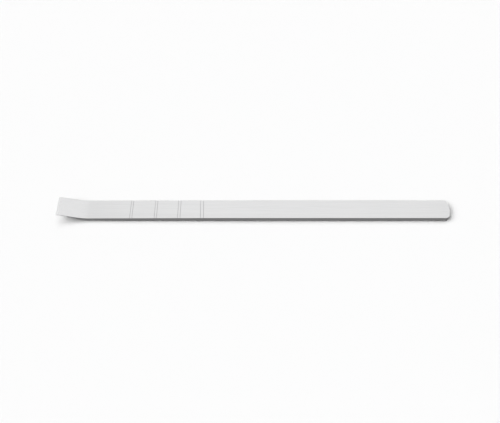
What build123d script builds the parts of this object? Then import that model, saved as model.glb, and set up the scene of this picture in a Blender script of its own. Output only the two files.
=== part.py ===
from build123d import *
import os

# Osteotome: one flat bar of hardened stainless steel, ground and swept up to a square cutting edge.
# Millimetres. X runs from the cutting edge (-X) to the struck end (+X), Y across the bar, Z up.
# The flat back lies on Z = 0, and the origin is under the middle of the bar.

# Bar
length = 165.0
width = 8.7
thickness = 2.6
rim_radius = 0.08

# Struck end, seen from above
crown_radius = 9.0
crown_corner_radius = 1.9

# Blade, upper face: distances are from the cutting edge
hollow_start = 66.0
hollow_depth = 0.32
hollow_blend_radius = 1500.0
top_sweep_start = 10.3
top_sweep_radius = 14.0

# Blade, back: distances are from the cutting edge
back_grind_start = 28.0
back_grind_lift = 0.78
back_blend_radius = 300.0
back_sweep_start = 11.1
back_sweep_radius = 15.0

# Cutting edge: how far it stands above the upper face of the bar, and its two honed facets
edge_rise = 2.6
hone_length = 1.5
top_hone_drop = 0.12
back_hone_rise = 0.32
edge_land = 0.05

# Depth marks: pairs of engraved lines across the upper face, set out by hand about 10 mm apart.
# Each is the distance of its first line from the cutting edge, the gap to its second line,
# and the lean of both in degrees.
depth_marks = (
    (30.1, 0.95, 0.0),
    (40.4, 0.95, 0.0),
    (50.2, 1.05, 0.0),
    (59.7, 1.25, 2.0),
)
line_width = 0.18
line_depth = 0.07

edge_x = -length / 2
butt_x = length / 2
edge_top = thickness + edge_rise
edge_bottom = edge_top - edge_land
sweep_top = thickness - hollow_depth
hone_wall = edge_land - top_hone_drop + back_hone_rise


def upper_line():
    """Side view of the upper face, from the struck end to the honed facet."""
    return FilletPolyline(
        (butt_x, thickness),
        (edge_x + hollow_start, thickness),
        (edge_x + top_sweep_start, sweep_top),
        (edge_x + hone_length, edge_top - top_hone_drop),
        radius=[hollow_blend_radius, top_sweep_radius],
    )


def back_line():
    """Side view of the back, from the struck end to the honed facet."""
    return FilletPolyline(
        (butt_x, 0),
        (edge_x + back_grind_start, 0),
        (edge_x + back_sweep_start, back_grind_lift),
        (edge_x + hone_length, edge_bottom - back_hone_rise),
        radius=[back_blend_radius, back_sweep_radius],
    )


def side_profile():
    """The whole side view, closed at the cutting edge and square at the struck end."""
    with BuildSketch(Plane.XZ) as profile:
        with BuildLine():
            top = upper_line()
            back = back_line()
            edge = Line((edge_x, edge_top), (edge_x, edge_bottom))
            Line(top @ 1, edge @ 0)
            Line(edge @ 1, back @ 1)
            Line(back @ 0, top @ 0)
        make_face()
    return profile.sketch


def plan_outline():
    """The bar from above: parallel sides, and a struck end rounded to a crown."""
    half = width / 2
    corner_x = butt_x - crown_radius + (crown_radius**2 - half**2) ** 0.5
    with BuildSketch(Plane.XY) as outline:
        with BuildLine():
            sides = Polyline(
                (corner_x, half),
                (edge_x - width, half),
                (edge_x - width, -half),
                (corner_x, -half),
            )
            ThreePointArc(sides @ 1, (butt_x, 0), sides @ 0)
        make_face()
        fillet(outline.vertices().group_by(Axis.X)[-1], crown_corner_radius)
    return outline.sketch


def blank():
    """The ground bar with sharp rims."""
    slab = extrude(side_profile(), amount=width, both=True)
    column = extrude(plan_outline(), amount=2 * edge_top, both=True)
    return slab & column


def break_rims(bar):
    """Rounds the rims of both faces, and leaves the honed facets and the cutting edge sharp."""
    rims = bar.edges().filter_by(Axis.Y, reverse=True).filter_by(Axis.Z, reverse=True)
    rims = rims.filter_by(lambda rim: rim.center().X > edge_x + hone_length)
    return fillet(rims, min(rim_radius, hone_wall / 4))


def upper_face_height(distance):
    """Height of the upper face at a distance from the cutting edge, on the ground slope."""
    along = (hollow_start - distance) / (hollow_start - top_sweep_start)
    return thickness - hollow_depth * min(1, max(0, along))


def engraved_line(distance, lean):
    """A cutter for one V-shaped line across the upper face."""
    reach = 2 * line_depth
    half_top = line_width / 2 * (reach + line_depth) / line_depth
    with BuildSketch(Plane.XZ) as section:
        Polygon((0, -line_depth), (half_top, reach), (-half_top, reach), align=None)
    cutter = extrude(section.sketch, amount=width, both=True)
    return Pos(edge_x + distance, 0, upper_face_height(distance)) * Rot(Z=lean) * cutter


def engraved_lines():
    """Both lines of every depth mark."""
    lines = []
    for distance, gap, lean in depth_marks:
        lines.append(engraved_line(distance, lean))
        lines.append(engraved_line(distance + gap, lean))
    return lines


def osteotome():
    """The finished tool, one solid."""
    tool = break_rims(blank())
    for line in engraved_lines():
        tool -= line
    return tool.solids()[0]


os.makedirs("parts", exist_ok=True)
export_step(osteotome(), "parts/osteotome.step")
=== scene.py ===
import math

import bmesh
import bpy
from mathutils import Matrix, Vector


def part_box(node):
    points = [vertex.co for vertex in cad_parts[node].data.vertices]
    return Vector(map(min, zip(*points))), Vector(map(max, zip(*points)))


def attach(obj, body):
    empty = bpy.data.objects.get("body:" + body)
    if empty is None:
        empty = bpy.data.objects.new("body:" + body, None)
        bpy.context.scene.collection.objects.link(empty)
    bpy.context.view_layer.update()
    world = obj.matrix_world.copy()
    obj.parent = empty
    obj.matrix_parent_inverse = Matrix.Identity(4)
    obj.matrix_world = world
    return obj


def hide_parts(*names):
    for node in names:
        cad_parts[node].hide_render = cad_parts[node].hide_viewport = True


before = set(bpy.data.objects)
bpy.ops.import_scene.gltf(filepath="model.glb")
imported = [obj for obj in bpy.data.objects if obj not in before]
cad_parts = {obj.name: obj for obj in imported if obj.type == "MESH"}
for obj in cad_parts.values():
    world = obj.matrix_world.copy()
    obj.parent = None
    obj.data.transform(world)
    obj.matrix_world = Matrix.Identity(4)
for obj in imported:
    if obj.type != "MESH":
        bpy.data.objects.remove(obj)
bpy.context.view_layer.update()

# The tool is drawn in millimetres and brought down to metres at the end.
MM = 0.001
LOW, HIGH = (Vector(corner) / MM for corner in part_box("osteotome"))

# Bar. X runs from the cutting edge to the struck end, Y across, Z up from the flat back.
EDGE_X = LOW.x
BUTT_X = HIGH.x
WIDTH = HIGH.y - LOW.y
THICKNESS = 2.6
EDGE_TOP = HIGH.z
RIM_RADIUS = 0.0625
RIM_STEPS = 3

# Blade: distances are from the cutting edge.
HOLLOW_START = 66.0
HOLLOW_DEPTH = 0.32
HOLLOW_BLEND_RADIUS = 1500.0
TOP_SWEEP_START = 10.3
TOP_SWEEP_RADIUS = 14.0
BACK_GRIND_START = 28.0
BACK_GRIND_LIFT = 0.78
BACK_BLEND_RADIUS = 300.0
BACK_SWEEP_START = 11.1
BACK_SWEEP_RADIUS = 15.0
SWEEP_STEPS = 28
BLEND_STEPS = 10

# Cutting edge and its two honed facets.
EDGE_LAND = 0.05
HONE_LENGTH = 1.5
TOP_HONE_DROP = 0.12
BACK_HONE_RISE = 0.32

# Struck end, from above.
CROWN_RADIUS = 9.0
CROWN_CORNER_RADIUS = 1.9
CROWN_STEPS = 24
CORNER_STEPS = 12

# Depth marks: the first line's distance from the cutting edge, the gap to the second, and the lean
# in degrees.
DEPTH_MARKS = (
    (30.1, 0.95, 0.0),
    (40.4, 0.95, 0.0),
    (50.2, 1.05, 0.0),
    (59.7, 1.25, 2.0),
)
LINE_WIDTH = 0.18
LINE_DEPTH = 0.07

# Distances below which two places are the same, and below which a cut goes through a point.
TINY = 1e-4
CUT_TINY = 1e-5

# Normals: how far a wall's tilts up at most, and how far a groove side's tilts along at least.
WALL_TILT = 0.05
GROOVE_TILT = 0.3

# Shading: edges sharper than this stay sharp, and large faces decide the normals of small ones.
SMOOTH_ANGLE = 20
LARGE_FACES_FIRST = 100


def upper_corners():
    """Corners of the upper face in the side view, from the struck end to the cutting edge."""
    return [
        (BUTT_X, THICKNESS),
        (EDGE_X + HOLLOW_START, THICKNESS),
        (EDGE_X + TOP_SWEEP_START, THICKNESS - HOLLOW_DEPTH),
        (EDGE_X + HONE_LENGTH, EDGE_TOP - TOP_HONE_DROP),
        (EDGE_X, EDGE_TOP),
    ]


def back_corners():
    """Corners of the back in the side view, from the cutting edge to the struck end."""
    edge_bottom = EDGE_TOP - EDGE_LAND
    return [
        (EDGE_X, edge_bottom),
        (EDGE_X + HONE_LENGTH, edge_bottom - BACK_HONE_RISE),
        (EDGE_X + BACK_SWEEP_START, BACK_GRIND_LIFT),
        (EDGE_X + BACK_GRIND_START, 0.0),
        (BUTT_X, 0.0),
    ]


def edit_mesh():
    """The mesh being edited, with fresh normals."""
    mesh = bmesh.from_edit_mesh(bpy.context.edit_object.data)
    mesh.normal_update()
    return mesh


def select(kind, wanted):
    """Selects the points, edges or faces that wanted(element) says, and nothing else."""
    bpy.ops.mesh.select_mode(type=kind)
    bpy.ops.mesh.select_all(action="DESELECT")
    mesh = edit_mesh()
    for element in {"VERT": mesh.verts, "EDGE": mesh.edges, "FACE": mesh.faces}[kind]:
        element.select = bool(wanted(element))
    mesh.select_flush_mode()
    bmesh.update_edit_mesh(bpy.context.edit_object.data)


def trace_side_view(corners):
    """Draws the side view from corner to corner with one point, and fills it."""
    bpy.ops.mesh.primitive_plane_add(size=1, location=(0, 0, 0))
    bpy.ops.object.mode_set(mode="EDIT")
    bpy.ops.mesh.select_all(action="SELECT")
    bpy.ops.mesh.merge(type="CENTER")
    x, z = corners[0]
    bpy.ops.transform.translate(value=(x, 0, z))
    for next_x, next_z in corners[1:]:
        step = (next_x - x, 0, next_z - z)
        bpy.ops.mesh.extrude_region_move(TRANSFORM_OT_translate={"value": step})
        x, z = next_x, next_z
    bpy.ops.mesh.select_all(action="SELECT")
    bpy.ops.mesh.edge_face_add()


def turn_at(before, corner, after):
    """The angle by which an outline turns at a corner."""
    first = Vector(corner) - Vector(before)
    second = Vector(after) - Vector(corner)
    return abs(first.angle_signed(second))


def round_corner(corners, index, radius, steps):
    """Rounds one corner of the side view to a radius."""

    def at_corner(vert):
        return abs(vert.co.x - x) < TINY and abs(vert.co.z - z) < TINY

    x, z = corners[index]
    turn = turn_at(*corners[index - 1 : index + 2])
    select("VERT", at_corner)
    bpy.ops.mesh.bevel(
        affect="VERTICES", offset=radius * math.tan(turn / 2), segments=steps, profile=0.5
    )


def spread_across():
    """Gives the side view its width."""
    bpy.ops.mesh.select_all(action="SELECT")
    bpy.ops.transform.translate(value=(0, -WIDTH / 2, 0))
    bpy.ops.mesh.extrude_region_move(TRANSFORM_OT_translate={"value": (0, WIDTH, 0)})
    bpy.ops.mesh.select_all(action="SELECT")
    bpy.ops.mesh.normals_make_consistent(inside=False)


def arc(centre, radius, start, stop, steps):
    """Points of an arc in plan, by its angles from X."""
    turns = [start + (stop - start) * step / steps for step in range(steps + 1)]
    return [
        (centre[0] + radius * math.cos(turn), centre[1] + radius * math.sin(turn))
        for turn in turns
    ]


def end_outline():
    """The struck end in plan, from one side to the other: corner, crown, corner."""
    crown_x = BUTT_X - CROWN_RADIUS
    corner_y = WIDTH / 2 - CROWN_CORNER_RADIUS
    reach = CROWN_RADIUS - CROWN_CORNER_RADIUS
    corner_x = crown_x + math.sqrt(reach**2 - corner_y**2)
    meet = math.asin(corner_y / reach)
    quarter = math.pi / 2
    radius = CROWN_CORNER_RADIUS
    near_corner = arc((corner_x, -corner_y), radius, -quarter, -meet, CORNER_STEPS)
    crown = arc((crown_x, 0), CROWN_RADIUS, -meet, meet, CROWN_STEPS)
    far_corner = arc((corner_x, corner_y), radius, meet, quarter, CORNER_STEPS)
    return near_corner + crown[1:-1] + far_corner


def crown_the_end():
    """Cuts the square end across, and moves each cut onto the rounded outline."""

    def across(edge):
        first, second = edge.verts
        level = abs(first.co.z - second.co.z) < TINY
        return level and all(abs(v.co.x - BUTT_X) < TINY for v in edge.verts)

    def on_cut(vert):
        return vert.co.x > BUTT_X - TINY and abs(vert.co.y - cut_y) < TINY

    outline = end_outline()
    select("EDGE", across)
    bpy.ops.mesh.subdivide(number_cuts=len(outline) - 2)
    for index, (x, y) in enumerate(outline):
        cut_y = WIDTH * (index / (len(outline) - 1) - 0.5)
        select("VERT", on_cut)
        bpy.ops.transform.translate(value=(x - BUTT_X, y - cut_y, 0))


def is_wall(face):
    """True for the two long sides and the wall of the struck end."""
    return abs(face.normal.z) < WALL_TILT


def break_rims():
    """Rounds the rims of both faces as far as the honed facets."""

    def rim(edge):
        walls = [is_wall(face) for face in edge.link_faces]
        behind_hone = all(v.co.x > EDGE_X + HONE_LENGTH - TINY for v in edge.verts)
        return len(walls) == 2 and walls[0] != walls[1] and behind_hone

    select("EDGE", rim)
    bpy.ops.mesh.bevel(offset=RIM_RADIUS, segments=RIM_STEPS, profile=0.5, clamp_overlap=False)


def cut_plane(x, lean):
    """A plane across the bar: a point on it and its normal."""
    angle = math.radians(lean)
    return Vector((x, 0, 0)), Vector((math.cos(angle), math.sin(angle), 0))


def slice_bar(x, lean):
    """Scores the bar all round, square across or leaning."""
    point, normal = cut_plane(x, lean)
    bpy.ops.mesh.select_all(action="SELECT")
    bpy.ops.mesh.bisect(plane_co=point, plane_no=normal, threshold=CUT_TINY)


def engrave_line(distance, lean):
    """Presses one V-shaped line into the upper face and its rims."""

    def on_line(vert):
        return abs((vert.co - point).dot(normal)) < TINY and vert.co.z > THICKNESS / 2

    x = EDGE_X + distance
    for offset in (-LINE_WIDTH / 2, 0, LINE_WIDTH / 2):
        slice_bar(x + offset, lean)
    point, normal = cut_plane(x, lean)
    select("VERT", on_line)
    bpy.ops.transform.translate(value=(0, 0, -LINE_DEPTH))


def engrave_depth_marks():
    """Engraves the pairs of lines across the upper face."""
    for distance, gap, lean in DEPTH_MARKS:
        engrave_line(distance, lean)
        engrave_line(distance + gap, lean)


def in_groove(face):
    """True for the sloped walls of an engraved line."""
    centre = face.calc_center_median()
    if centre.z < THICKNESS / 2 or abs(face.normal.x) < GROOVE_TILT:
        return False
    for distance, gap, lean in DEPTH_MARKS:
        for line in (distance, distance + gap):
            point, normal = cut_plane(EDGE_X + line, lean)
            if abs((centre - point).dot(normal)) < LINE_WIDTH / 2:
                return True
    return False


def on_hone(face):
    """True for the two honed facets and the cutting edge."""
    return face.calc_center_median().x < EDGE_X + HONE_LENGTH and not is_wall(face)


def on_struck_end(face):
    """True for the wall of the struck end."""
    return is_wall(face) and face.calc_center_median().x > BUTT_X - CROWN_CORNER_RADIUS


def lay_finish(tool, material, wanted):
    """Gives one more finish to the faces that wanted(face) says."""
    tool.data.materials.append(material)
    bpy.ops.object.mode_set(mode="EDIT")
    select("FACE", wanted)
    tool.active_material_index = len(tool.data.materials) - 1
    bpy.ops.object.material_slot_assign()
    bpy.ops.object.mode_set(mode="OBJECT")


def shape_tool():
    """The whole tool as one mesh, in millimetres."""
    upper, back = upper_corners(), back_corners()
    bpy.ops.object.select_all(action="DESELECT")
    trace_side_view(upper + back)
    round_corner(upper, 1, HOLLOW_BLEND_RADIUS, BLEND_STEPS)
    round_corner(upper, 2, TOP_SWEEP_RADIUS, SWEEP_STEPS)
    round_corner(back, 2, BACK_SWEEP_RADIUS, SWEEP_STEPS)
    round_corner(back, 3, BACK_BLEND_RADIUS, BLEND_STEPS)
    spread_across()
    crown_the_end()
    break_rims()
    engrave_depth_marks()
    bpy.ops.object.mode_set(mode="OBJECT")
    tool = bpy.context.object
    tool.name = "satin_osteotome"
    return tool


def finish_tool(tool):
    """Lays the finishes, brings the tool down to metres and smooths its shading."""
    tool.data.materials.append(satin_steel())
    lay_finish(tool, honed_steel(), on_hone)
    lay_finish(tool, struck_steel(), on_struck_end)
    lay_finish(tool, engraved_steel(), in_groove)
    bpy.ops.transform.resize(value=(MM, MM, MM), center_override=(0, 0, 0))
    bpy.ops.object.transform_apply(location=True, rotation=True, scale=True)
    bpy.ops.object.shade_smooth_by_angle(angle=math.radians(SMOOTH_ANGLE))
    weigh = tool.modifiers.new("even_normals", "WEIGHTED_NORMAL")
    weigh.keep_sharp = True
    weigh.weight = LARGE_FACES_FIRST
    bpy.ops.object.modifier_apply(modifier=weigh.name)


# Finishes. A stretch is how many lines or specks fit in a metre along X, Y and Z.
ALONG_THE_BAR = (90.0, 7000.0, 7000.0)
ACROSS_THE_BAR = (9000.0, 150.0, 9000.0)
LONG_STREAKS = (14.0, 800.0, 800.0)
CLOUDS = (60.0, 160.0, 160.0)
HAIRLINES = (260.0, 5200.0, 900.0)
HAIRLINE_TURN = 14.0
PATCHES = (120.0, 300.0, 300.0)
DENTS = (1500.0, 1500.0, 1100.0)
LINE_HEIGHT = 0.000006
DENT_HEIGHT = 0.000015
DENT_STRENGTH = 0.12

# Levels of noise that are taken as the lowest and the highest of each pattern.
EVEN = (0.3, 0.7)
IN_PATCHES = (0.5, 0.62)
FEW_LINES = (0.7, 0.76)
FEWER_LINES = (0.72, 0.78)
SHALLOW_DENTS = (0.45, 0.65)

# How upright the surface faces, from a side at 0 to a face at 1, where a rim begins and ends.
LEAVING_THE_SIDE = (0.1, 0.4)
REACHING_THE_FACE = (0.9, 0.7)

# Greys of each finish, darkest and lightest.
SATIN_GREYS = ((0.712, 0.713, 0.716), (0.844, 0.845, 0.847))
HONED_GREYS = ((0.72, 0.721, 0.724), (0.83, 0.831, 0.833))
STRUCK_GREYS = ((0.72, 0.721, 0.724), (0.84, 0.84, 0.842))
# Engraved lines: darker than the face, a painted shade in the grooves.
CUT_GREYS_WITH_PAINTED_SHADE = ((0.58, 0.58, 0.584), (0.73, 0.73, 0.735))

# Tone, from 0 at the darkest grey to 1 at the lightest: plain steel, and what each pattern adds.
# The rim share lightens the rims: partly real polish from handling, partly a painted highlight.
SATIN_TONE = {"plain": 0.1, "lines": 0.5, "streaks": 0.17, "marks": 1.0, "rim": 1.0}
HONED_TONE = {"plain": 0.1, "lines": 0.6, "marks": 1.0}
STRUCK_TONE = {"plain": 0.1, "lines": 0.3, "dents": 0.2, "rim": 1.0}
CUT_TONE = {"plain": 0.0, "lines": 0.5, "marks": 1.0}

# Roughness in the same way.
SATIN_ROUGHNESS = {"plain": 0.27, "lines": 0.08, "marks": 0.4, "rim": -0.3}
HONED_ROUGHNESS = {"plain": 0.23, "lines": 0.08}
STRUCK_ROUGHNESS = {"plain": 0.3, "dents": -0.05, "lines": 0.04}
CUT_ROUGHNESS = {"plain": 0.42, "lines": 0.12}


def new_group(name, inputs, outputs):
    """An empty shader node group with its input and output nodes."""
    group = bpy.data.node_groups.new(name, "ShaderNodeTree")
    for socket, kind in inputs:
        group.interface.new_socket(socket, in_out="INPUT", socket_type=kind)
    for socket, kind in outputs:
        group.interface.new_socket(socket, in_out="OUTPUT", socket_type=kind)
    given = group.nodes.new("NodeGroupInput").outputs
    return group, given, group.nodes.new("NodeGroupOutput").inputs


def feed(tree, socket, value):
    """Links a socket to a socket, or sets its value."""
    if isinstance(value, bpy.types.NodeSocket):
        tree.links.new(value, socket)
    else:
        socket.default_value = value


def calculate(tree, operation, first, second):
    """One sum, product or the like of two values, either of which may be a socket."""
    node = tree.nodes.new("ShaderNodeMath")
    node.operation = operation
    feed(tree, node.inputs[0], first)
    feed(tree, node.inputs[1], second)
    return node.outputs["Value"]


def add_up(tree, weights, **patterns):
    """What plain steel has, plus each pattern times its own weight."""
    total = weights["plain"]
    for name, pattern in patterns.items():
        share = calculate(tree, "MULTIPLY", pattern, weights[name])
        total = calculate(tree, "ADD", share, total)
    return total


def remap(tree, value, levels):
    """Stretches what lies between two levels to 0 and 1."""
    node = tree.nodes.new("ShaderNodeMapRange")
    feed(tree, node.inputs["Value"], value)
    node.inputs["From Min"].default_value, node.inputs["From Max"].default_value = levels
    return node.outputs["Result"]


def stretched_noise(tree, stretch, turn=0.0, detail=2.0):
    """Noise on the object's own coordinates, drawn out along one direction."""
    place = tree.nodes.new("ShaderNodeTexCoord").outputs["Object"]
    mapping = tree.nodes.new("ShaderNodeMapping")
    feed(tree, mapping.inputs["Vector"], place)
    if turn:
        turned = tree.nodes.new("ShaderNodeMapping")
        turned.inputs["Rotation"].default_value = (0, 0, math.radians(turn))
        feed(tree, turned.inputs["Vector"], place)
        feed(tree, mapping.inputs["Vector"], turned.outputs["Vector"])
    feed(tree, mapping.inputs["Scale"], stretch)
    noise = tree.nodes.new("ShaderNodeTexNoise")
    noise.inputs["Scale"].default_value = 1.0
    noise.inputs["Detail"].default_value = detail
    feed(tree, noise.inputs["Vector"], mapping.outputs["Vector"])
    return noise.outputs["Fac"]


def grinding_lines():
    """Fine parallel lines from the belt or stone, as a value and as a normal."""
    group, given, result = new_group(
        "grinding_lines",
        [("Stretch", "NodeSocketVector"), ("Depth", "NodeSocketFloat")],
        [("Lines", "NodeSocketFloat"), ("Normal", "NodeSocketVector")],
    )
    lines = remap(group, stretched_noise(group, given["Stretch"], detail=3.0), EVEN)
    bump = group.nodes.new("ShaderNodeBump")
    bump.inputs["Distance"].default_value = LINE_HEIGHT
    feed(group, bump.inputs["Strength"], given["Depth"])
    feed(group, bump.inputs["Height"], lines)
    feed(group, result["Lines"], lines)
    feed(group, result["Normal"], bump.outputs["Normal"])
    return group


def handling_marks():
    """Faint clouds from cleaning, and a few short hairlines in patches."""
    group, given, result = new_group(
        "handling_marks",
        [("Clouding", "NodeSocketFloat"), ("Scratching", "NodeSocketFloat")],
        [("Marks", "NodeSocketFloat")],
    )
    clouds = remap(group, stretched_noise(group, CLOUDS), EVEN)
    patches = remap(group, stretched_noise(group, PATCHES), IN_PATCHES)
    both_ways = [
        remap(group, stretched_noise(group, HAIRLINES, turn=turn, detail=0.0), levels)
        for turn, levels in ((HAIRLINE_TURN, FEW_LINES), (-HAIRLINE_TURN, FEWER_LINES))
    ]
    hairlines = calculate(group, "MULTIPLY", calculate(group, "MAXIMUM", *both_ways), patches)
    weights = {"plain": 0.0, "clouds": given["Clouding"], "hairlines": given["Scratching"]}
    marks = add_up(group, weights, clouds=clouds, hairlines=hairlines)
    feed(group, result["Marks"], marks)
    return group


def rims_worn_and_painted_sheen():
    """The rounded rims, found by how their surface tilts: the given share on a rim, 0 elsewhere.
    It lightens the rims, partly real polish from wear and partly a painted highlight.
    """
    group, given, result = new_group(
        "rims_worn_and_painted_sheen", [("Wear", "NodeSocketFloat")], [("Rim", "NodeSocketFloat")]
    )
    tilt = group.nodes.new("ShaderNodeSeparateXYZ")
    feed(group, tilt.inputs["Vector"], group.nodes.new("ShaderNodeTexCoord").outputs["Normal"])
    upright = calculate(group, "ABSOLUTE", tilt.outputs["Z"], 0.0)
    off_the_side = remap(group, upright, LEAVING_THE_SIDE)
    off_the_face = remap(group, upright, REACHING_THE_FACE)
    rim = calculate(group, "MULTIPLY", off_the_side, off_the_face)
    feed(group, result["Rim"], calculate(group, "MULTIPLY", rim, given["Wear"]))
    return group


def shared_group(make):
    """A node group, made the first time that a material asks for it."""
    return bpy.data.node_groups.get(make.__name__) or make()


def place_group(tree, make, **values):
    """Puts a shared node group into a material, with its inputs set by name."""
    node = tree.nodes.new("ShaderNodeGroup")
    node.node_tree = shared_group(make)
    for name, value in values.items():
        feed(tree, node.inputs[name], value)
    return node.outputs


def new_steel(name):
    """A metal material: its node tree and its shader."""
    material = bpy.data.materials.new(name)
    material.use_nodes = True
    shader = material.node_tree.nodes["Principled BSDF"]
    shader.inputs["Metallic"].default_value = 1.0
    return material, material.node_tree, shader.inputs


def blend_greys(tree, share, greys):
    """A grey between two greys, by a share that varies over the surface."""
    dark, light = greys
    node = tree.nodes.new("ShaderNodeMix")
    node.data_type = "RGBA"
    node.inputs["A"].default_value = (*dark, 1)
    node.inputs["B"].default_value = (*light, 1)
    feed(tree, node.inputs["Factor"], share)
    return node.outputs["Result"]


def satin_steel():
    """Bar and blade: belt-ground along the bar and a little cloudy. The rims are lighter, partly
    from polish by wear and partly as a painted highlight.
    """
    material, tree, shader = new_steel("satin_steel")
    ground = place_group(tree, grinding_lines, Stretch=ALONG_THE_BAR, Depth=0.8)
    marks = place_group(tree, handling_marks, Clouding=0.1, Scratching=0.25)["Marks"]
    # Lighter rims: polished by handling, and a painted highlight.
    rim = place_group(tree, rims_worn_and_painted_sheen, Wear=0.3)["Rim"]
    streaks = remap(tree, stretched_noise(tree, LONG_STREAKS), EVEN)
    lines = ground["Lines"]
    tone = add_up(tree, SATIN_TONE, lines=lines, streaks=streaks, marks=marks, rim=rim)
    roughness = add_up(tree, SATIN_ROUGHNESS, lines=lines, marks=marks, rim=rim)
    feed(tree, shader["Base Color"], blend_greys(tree, tone, SATIN_GREYS))
    feed(tree, shader["Roughness"], roughness)
    feed(tree, shader["Normal"], ground["Normal"])
    return material


def honed_steel():
    """Cutting edge: honed square across the bar on a fine stone."""
    material, tree, shader = new_steel("honed_steel")
    honed = place_group(tree, grinding_lines, Stretch=ACROSS_THE_BAR, Depth=0.5)
    marks = place_group(tree, handling_marks, Clouding=0.2, Scratching=0.0)["Marks"]
    tone = add_up(tree, HONED_TONE, lines=honed["Lines"], marks=marks)
    roughness = add_up(tree, HONED_ROUGHNESS, lines=honed["Lines"])
    feed(tree, shader["Base Color"], blend_greys(tree, tone, HONED_GREYS))
    feed(tree, shader["Roughness"], roughness)
    feed(tree, shader["Normal"], honed["Normal"])
    return material


def struck_steel():
    """Struck end: burnished by the mallet, with shallow dents."""
    material, tree, shader = new_steel("struck_steel")
    ground = place_group(tree, grinding_lines, Stretch=ALONG_THE_BAR, Depth=0.2)
    # Lighter rims: polished by handling, and a painted highlight.
    rim = place_group(tree, rims_worn_and_painted_sheen, Wear=0.3)["Rim"]
    dents = remap(tree, stretched_noise(tree, DENTS, detail=1.0), SHALLOW_DENTS)
    tone = add_up(tree, STRUCK_TONE, lines=ground["Lines"], dents=dents, rim=rim)
    roughness = add_up(tree, STRUCK_ROUGHNESS, dents=dents, lines=ground["Lines"])
    bump = tree.nodes.new("ShaderNodeBump")
    bump.invert = True
    bump.inputs["Distance"].default_value = DENT_HEIGHT
    bump.inputs["Strength"].default_value = DENT_STRENGTH
    feed(tree, bump.inputs["Height"], dents)
    feed(tree, bump.inputs["Normal"], ground["Normal"])
    feed(tree, shader["Base Color"], blend_greys(tree, tone, STRUCK_GREYS))
    feed(tree, shader["Roughness"], roughness)
    feed(tree, shader["Normal"], bump.outputs["Normal"])
    return material


def engraved_steel():
    """Depth marks: cut lines, left rougher than the face, and darker as a painted shade in the
    grooves.
    """
    material, tree, shader = new_steel("engraved_steel")
    cut = place_group(tree, grinding_lines, Stretch=ACROSS_THE_BAR, Depth=0.4)
    marks = place_group(tree, handling_marks, Clouding=0.5, Scratching=0.0)["Marks"]
    tone = add_up(tree, CUT_TONE, lines=cut["Lines"], marks=marks)
    roughness = add_up(tree, CUT_ROUGHNESS, lines=cut["Lines"])
    feed(tree, shader["Base Color"], blend_greys(tree, tone, CUT_GREYS_WITH_PAINTED_SHADE))
    feed(tree, shader["Roughness"], roughness)
    feed(tree, shader["Normal"], cut["Normal"])
    return material


# Camera. The photograph is 500 by 423 pixels, and its focal length is 560 of them. The camera's
# place is in millimetres and its elevation in degrees.
PHOTO_WIDTH = 500
FOCAL_PIXELS = 560
SENSOR = 36.0
CAMERA_PLACE = (-1.91, -119.5, 206.85)
CAMERA_ELEVATION = 59.92

# From here on, lengths are in metres.
NEAREST_SEEN = 0.01
FLOOR_SIZE = 20
FLOOR_GREY = 0.9


def place_camera():
    """The camera, from the photograph's side and height."""
    data = bpy.data.cameras.new("camera")
    data.sensor_width = SENSOR
    data.lens = FOCAL_PIXELS / PHOTO_WIDTH * SENSOR
    data.clip_start = NEAREST_SEEN
    camera = bpy.data.objects.new("camera", data)
    camera.location = Vector(CAMERA_PLACE) * MM
    camera.rotation_euler = (math.radians(90 - CAMERA_ELEVATION), 0, 0)
    bpy.context.scene.collection.objects.link(camera)
    bpy.context.scene.camera = camera


def lay_floor():
    """A plain white floor, which the steel doesn't mirror."""
    bpy.ops.object.select_all(action="DESELECT")
    bpy.ops.mesh.primitive_plane_add(size=FLOOR_SIZE, location=(0, 0, 0))
    floor = bpy.context.object
    floor.name = "floor"
    material = bpy.data.materials.new("white_floor")
    material.use_nodes = True
    shader = material.node_tree.nodes["Principled BSDF"]
    shader.inputs["Base Color"].default_value = (FLOOR_GREY, FLOOR_GREY, FLOOR_GREY, 1)
    shader.inputs["Roughness"].default_value = 1.0
    shader.inputs["Specular IOR Level"].default_value = 0.0
    floor.data.materials.append(material)
    floor.visible_glossy = False


# Studio. How bright the steel mirrors the room at each height, from -1 straight down to 1 straight
# up, and how bright the camera sees it.
ROOM_LEVELS = ((-0.45, 0.215), (-0.1, 0.4), (0.2, 0.5), (0.6, 0.65), (0.85, 0.5))
ROOM_SEEN = 0.985

# Suns: name, direction towards the light, strength, and spread in degrees.
SOFT_SUNS = (
    ("sun_on_the_left", (-0.75, -0.12, 1.0), 3.23, 50),
    ("sun_behind", (0.0, 0.4, 1.0), 0.92, 40),
)

# Light panels.
STRIP_PLACE = (0.0, -0.5, 0.45)
STRIP_WIDTH = 1.0
STRIP_HEIGHT = 0.5
STRIP_POWER = 0.7
SOFTBOX_PLACE = (0.03, 0.35, 0.6)
SOFTBOX_WIDTH = 0.85
SOFTBOX_HEIGHT = 0.5
SOFTBOX_POWER = 0.73


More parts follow.
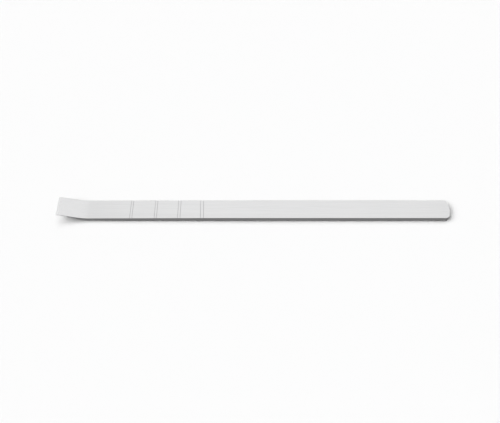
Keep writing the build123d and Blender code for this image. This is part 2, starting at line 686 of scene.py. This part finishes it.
def pale_room():
    """A room that the steel mirrors dim below and lighter above, with a pale wall behind."""
    world = bpy.data.worlds.new("studio")
    bpy.context.scene.world = world
    world.use_nodes = True
    world.cycles_visibility.diffuse = False
    nodes, links = world.node_tree.nodes, world.node_tree.links
    path = nodes.new("ShaderNodeLightPath")
    direction = nodes.new("ShaderNodeTexCoord")
    height = nodes.new("ShaderNodeSeparateXYZ")
    share = nodes.new("ShaderNodeMapRange")
    share.inputs["From Min"].default_value = -1.0
    levels = nodes.new("ShaderNodeValToRGB")
    stops = levels.color_ramp.elements
    for index, (z, level) in enumerate(ROOM_LEVELS):
        stop = stops[index] if index < len(stops) else stops.new(1.0)
        stop.position = (z + 1) / 2
        stop.color = (level, level, level, 1)
    seen = nodes.new("ShaderNodeMix")
    seen.data_type = "RGBA"
    seen.inputs["B"].default_value = (ROOM_SEEN, ROOM_SEEN, ROOM_SEEN, 1)
    links.new(direction.outputs["Generated"], height.inputs["Vector"])
    links.new(height.outputs["Z"], share.inputs["Value"])
    links.new(share.outputs["Result"], levels.inputs["Fac"])
    links.new(path.outputs["Is Camera Ray"], seen.inputs["Factor"])
    links.new(levels.outputs["Color"], seen.inputs["A"])
    links.new(seen.outputs["Result"], nodes["Background"].inputs["Color"])


def soft_suns():
    """Wide suns on the left and behind, which light the floor and aren't mirrored in the steel."""
    for name, towards, strength, spread in SOFT_SUNS:
        data = bpy.data.lights.new(name, "SUN")
        data.energy = strength
        data.angle = math.radians(spread)
        # Off, because such wide suns would shine through the tool onto the floor.
        data.cycles.use_multiple_importance_sampling = False
        sun = bpy.data.objects.new(name, data)
        sun.rotation_euler = Vector(towards).to_track_quat("Z", "Y").to_euler()
        sun.visible_glossy = False
        bpy.context.scene.collection.objects.link(sun)


def panel(name, place, width, height, power):
    """A light panel that faces the tool. The steel mirrors it, and the floor isn't lit by it."""
    data = bpy.data.lights.new(name, "AREA")
    data.shape = "RECTANGLE"
    data.size = width
    data.size_y = height
    data.energy = power
    box = bpy.data.objects.new(name, data)
    box.location = place
    box.rotation_euler = Vector(place).to_track_quat("Z", "Y").to_euler()
    box.visible_diffuse = False
    bpy.context.scene.collection.objects.link(box)


bpy.context.scene.view_settings.view_transform = "Standard"
place_camera()
lay_floor()
pale_room()
soft_suns()
panel("softbox_behind", SOFTBOX_PLACE, SOFTBOX_WIDTH, SOFTBOX_HEIGHT, SOFTBOX_POWER)
panel("strip_in_front", STRIP_PLACE, STRIP_WIDTH, STRIP_HEIGHT, STRIP_POWER)
tool = shape_tool()
finish_tool(tool)
# The floor isn't lit by what the steel reflects, which would wash out the shadow.
tool.visible_diffuse = False
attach(tool, "root")
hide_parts("osteotome")
